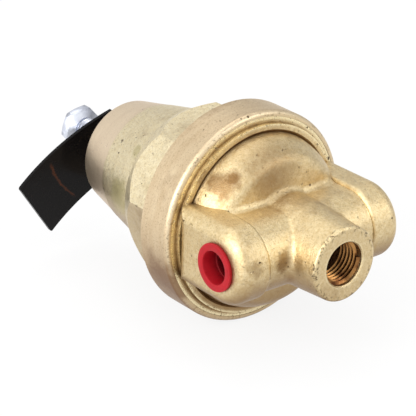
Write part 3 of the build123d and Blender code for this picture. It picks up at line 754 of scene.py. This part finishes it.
gloss = smooth_range(tree, smears, 0.0, 1.0, 0.20, 0.36)
feed(
    tree,
    shader,
    Base_Color=layered(tree, TAG_BLACK, (scratches, 0.3, TAG_SCRATCH), (streak, 0.45, TAG_STREAK)),
    Roughness=maths(tree, "ADD", gloss, maths(tree, "MULTIPLY", scratches, 0.15)),
    Normal=bump(tree, smears, SOFT_RELIEF),
)
solids["tag_strip"].data.materials[0] = black_gloss

# %% [markdown]
# ## Screw threads
#
# A thread is one ridge that winds round and climbs by its pitch each turn.
# The section of the ridge is drawn once, as a face with four corners, and
# bmesh's spin carries it round the axis with a small step along it, which
# makes a closed helical bar. The ports are quarter-inch taper pipe threads,
# 18 to the inch. The adjusting screw has a pitch of 1.25 mm.


# %% Thread ridge
STEPS_A_TURN = 48
SHARP_ANGLE = radians(32)


def thread_ridge(work, root, crest, pitch, start, length):
    """Add a right-hand helical ridge round the Y axis to a bmesh."""
    section = [(root, 0.0), (crest, 0.40 * pitch), (crest, 0.54 * pitch), (root, 0.94 * pitch)]
    corners = [work.verts.new((radius, start + along, 0)) for radius, along in section]
    face = work.faces.new(corners)
    count = round(length / pitch * STEPS_A_TURN)
    bmesh.ops.spin(
        work,
        geom=[face] + list(face.edges) + corners,
        axis=(0, 1, 0),
        cent=(0, 0, 0),
        dvec=(0, pitch / STEPS_A_TURN, 0),
        angle=tau * count / STEPS_A_TURN,
        steps=count,
    )


def finished(name, work, material, body, slot, *replaced):
    """Turn a bmesh into a piece with a smooth surface that rides on a body."""
    bmesh.ops.recalc_face_normals(work, faces=work.faces)
    mesh = bpy.data.meshes.new(name)
    work.to_mesh(mesh)
    work.free()
    for polygon in mesh.polygons:
        polygon.use_smooth = True
    mesh.set_sharp_from_angle(angle=SHARP_ANGLE)
    mesh.materials.append(material)
    piece = bpy.data.objects.new(name, mesh)
    bpy.context.scene.collection.objects.link(piece)
    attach(piece, body)
    if replaced:
        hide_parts(*replaced)
    print(name, "faces:", len(mesh.polygons))
    return piece


# %% Threads of the three ports
PORT_ROOT = 6.90 * MM
PORT_CREST = 6.02 * MM
PORT_PITCH = 25.4 / 18 * MM
THREAD_START = 1.1 * MM
THREAD_LENGTH = 7.6 * MM
SIDE_REACH = 30.8 * MM
port_height = plug_centre.y
ports = (
    ("inlet_thread", (0, 0, 0), 0),
    ("right_outlet_thread", (SIDE_REACH, port_height, 0), pi / 2),
    ("left_outlet_thread", (-SIDE_REACH, port_height, 0), -pi / 2),
)
for name, mouth, turn in ports:
    place = Matrix.Translation(mouth) @ Matrix.Rotation(turn, 4, "Z")
    work = bmesh.new()
    thread_ridge(work, PORT_ROOT, PORT_CREST, PORT_PITCH, THREAD_START, THREAD_LENGTH)
    bmesh.ops.transform(work, matrix=place, verts=work.verts)
    finished(name, work, shaded_thread_brass, "valve", "turned_brass")

# %% [markdown]
# ## Adjusting screw
#
# The head and the point of the solid screw are right as they are, so they are
# kept: a copy of its mesh is cut by two planes across the axis. The plain
# shank between them gives way to a core with a thread wound round it.

# %% Screw with its thread
SCREW_CREST = 3.97 * MM
SCREW_CORE = 3.30 * MM
RIDGE_SINK = 0.05 * MM
SCREW_PITCH = 1.25 * MM
POINT_LENGTH = 2.6 * MM
HEAD_CUT = 4.2 * MM
screw_low, screw_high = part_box("adjusting_screw")
point_cut = screw_low.y + POINT_LENGTH
head_cut = screw_high.y - HEAD_CUT
work = bmesh.new()
for cut, side in ((head_cut, 1), (point_cut, -1)):
    end = bmesh.new()
    end.from_mesh(solids["adjusting_screw"].data)
    bmesh.ops.remove_doubles(end, verts=end.verts, dist=0.001 * MM)
    geometry = list(end.verts) + list(end.edges) + list(end.faces)
    bmesh.ops.bisect_plane(
        end, geom=geometry, plane_co=(0, cut, 0), plane_no=(0, side, 0), clear_inner=True
    )
    bmesh.ops.holes_fill(end, edges=[edge for edge in end.edges if edge.is_boundary])
    kept = bpy.data.meshes.new("kept_end")
    end.to_mesh(kept)
    end.free()
    work.from_mesh(kept)
    bpy.data.meshes.remove(kept)
core_length = head_cut - point_cut
core_middle = Matrix.Translation((0, (head_cut + point_cut) / 2, 0))
bmesh.ops.create_cone(
    work,
    cap_ends=True,
    segments=STEPS_A_TURN,
    radius1=SCREW_CORE,
    radius2=SCREW_CORE,
    depth=core_length,
    matrix=core_middle @ Matrix.Rotation(pi / 2, 4, "X"),
)
thread_ridge(
    work, SCREW_CORE - RIDGE_SINK, SCREW_CREST, SCREW_PITCH, point_cut, core_length - SCREW_PITCH
)
finished("threaded_screw", work, zinc, "screw", "zinc_steel", "adjusting_screw")

# %% [markdown]
# ## Plug
#
# The red plug is one turned shape: a flange with a soft edge, a thin stem
# that pushes between the thread's crests, and a stepped hollow. Its half
# section is drawn as a chain of edges and spun a full turn round the port's
# axis, with the ends of the spin merged. Each corner of the chain is given by
# its radius and by how far it stands out from the back of the flange.

# %% Plug by a full spin
FLANGE = 1.2 * MM
FLANGE_RADIUS = 7.4 * MM
PLUG_STEPS = 72
half_section = [
    (0.0, -7.8), (4.1, -7.8), (4.45, -7.5), (4.5, -3.8), (4.9, -3.7), (5.05, 0.7),
    (5.2, 1.05), (5.5, 1.2), (7.0, 1.2), (7.28, 1.1), (7.4, 0.8), (7.4, 0.25),
    (7.25, 0.0), (5.95, 0.0), (5.9, -8.0), (5.4, -9.0), (0.0, -9.0),
]
work = bmesh.new()
scale = (plug_high.z - plug_low.z) / 2 / FLANGE_RADIUS
chain = [
    work.verts.new((plug_low.x + FLANGE - out * MM, port_height + radius * MM * scale, 0))
    for radius, out in half_section
]
edges = [work.edges.new(pair) for pair in zip(chain, chain[1:])]
bmesh.ops.spin(
    work,
    geom=chain + edges,
    axis=(1, 0, 0),
    cent=(0, port_height, 0),
    angle=tau,
    steps=PLUG_STEPS,
    use_merge=True,
)
bmesh.ops.remove_doubles(work, verts=work.verts, dist=0.002 * MM)
finished("push_in_plug", work, red_plastic, "plug", "red_plastic", "port_plug")

# %% [markdown]
# ## Floor, background and light
#
# The valve was photographed on seamless white. The floor is a wide pale
# sheet that glows a little, so that it comes out white and still takes the
# valve's shadow. Polished metal is mostly what it reflects, so the light
# matters as much as the materials: a broad soft lamp on the left, a second on
# the right and a gentle one above, in a sky that is brighter on the left and
# darker on the right, so that round pieces show their shape.

# %% Floor
GLOW_SHARE = 0.85
FLOOR_REACH = 3.0
WHITE = (1.0, 1.0, 1.0, 1.0)
PAPER_DARK = (0.84, 0.84, 0.84, 1.0)
PAPER_WHITE = (0.86, 0.86, 0.86, 1.0)
PAPER_PALE = (0.88, 0.88, 0.88, 1.0)
floor_height = cad_box[0].z
floor_mesh = bpy.data.meshes.new("studio_floor")
work = bmesh.new()
bmesh.ops.create_grid(work, x_segments=1, y_segments=1, size=FLOOR_REACH)
bmesh.ops.translate(work, verts=work.verts, vec=(0, 0, floor_height))
work.to_mesh(floor_mesh)
work.free()
floor = bpy.data.objects.new("studio_floor", floor_mesh)
bpy.context.scene.collection.objects.link(floor)
floor_white, tree, shader = new_material(
    "floor_white", metallic=0.0, roughness=0.9, colour=PAPER_WHITE, specular=0.2
)
paper = noise(tree, put(tree, "ShaderNodeTexCoord").outputs["Object"], 40.0, 4.0)
feed(tree, shader, Base_Color=blend_colour(tree, paper, PAPER_DARK, PAPER_PALE))
glow = feed(tree, put(tree, "ShaderNodeEmission"), Color=WHITE, Strength=1.0)
rays = put(tree, "ShaderNodeLightPath")
seen = maths(tree, "ADD", rays.outputs["Is Camera Ray"], rays.outputs["Is Glossy Ray"])
seen = maths(tree, "ADD", seen, rays.outputs["Is Transmission Ray"])
share = maths(tree, "MULTIPLY", seen, GLOW_SHARE)
mixed = put(tree, "ShaderNodeMixShader")
tree.links.new(share, mixed.inputs[0])
tree.links.new(shader.outputs[0], mixed.inputs[1])
tree.links.new(glow.outputs[0], mixed.inputs[2])
tree.links.new(mixed.outputs[0], tree.nodes["Material Output"].inputs["Surface"])
floor_mesh.materials.append(floor_white)
print("floor at", round(floor_height, 4), "m")

# %% Sky
HORIZON = 0.76
ZENITH = 0.88
BRIGHT_SIDE = Vector((-0.93, -0.25, 0.28))
BRIGHT_GAIN = 0.60
DARK_LOSS = 0.20
world = bpy.data.worlds.new("white_studio")
world.use_nodes = True
bpy.context.scene.world = world
tree = world.node_tree
tree.nodes.clear()
direction = put(tree, "ShaderNodeTexCoord").outputs["Generated"]
brightness = smooth_range(tree, coordinate(tree, direction, "Z"), 0.05, 0.85, HORIZON, ZENITH)
facing = put(tree, "ShaderNodeVectorMath", operation="DOT_PRODUCT")
tree.links.new(direction, facing.inputs[0])
facing.inputs[1].default_value = BRIGHT_SIDE
gain = smooth_range(tree, facing.outputs["Value"], 0.2, 1.0, 0.0, BRIGHT_GAIN)
loss = smooth_range(tree, facing.outputs["Value"], 0.1, -0.9, 0.0, DARK_LOSS)
brightness = maths(tree, "SUBTRACT", maths(tree, "ADD", brightness, gain), loss)
studio = feed(tree, put(tree, "ShaderNodeBackground"), Color=WHITE, Strength=brightness)
output = put(tree, "ShaderNodeOutputWorld")
tree.links.new(studio.outputs[0], output.inputs["Surface"])
print("sky from", ZENITH, "above to", HORIZON, "at the horizon")


# %% Lamps
def soft_lamp(name, place, width, depth, power, aim=Vector((0, 0.045, 0))):
    """A rectangular lamp that faces the valve."""
    data = bpy.data.lights.new(name, "AREA")
    data.shape = "RECTANGLE"
    data.size = width
    data.size_y = depth
    data.energy = power
    lamp = bpy.data.objects.new(name, data)
    bpy.context.scene.collection.objects.link(lamp)
    lamp.location = place
    lamp.rotation_euler = (aim - Vector(place)).to_track_quat("-Z", "Y").to_euler()
    return lamp


soft_lamp("left_lamp", (-0.85, -0.10, 0.40), 0.7, 0.6, 5.0)
soft_lamp("right_lamp", (0.55, -0.75, 0.60), 0.5, 0.6, 2.5)
soft_lamp("top_lamp", (0.10, 0.30, 1.00), 0.6, 0.6, 1.6)
print("lamps:", len(bpy.data.lights))

# %% [markdown]
# ## Finish
#
# Colours are shown as they are, with no film look.

# %% Finish
bpy.context.scene.view_settings.view_transform = "Standard"
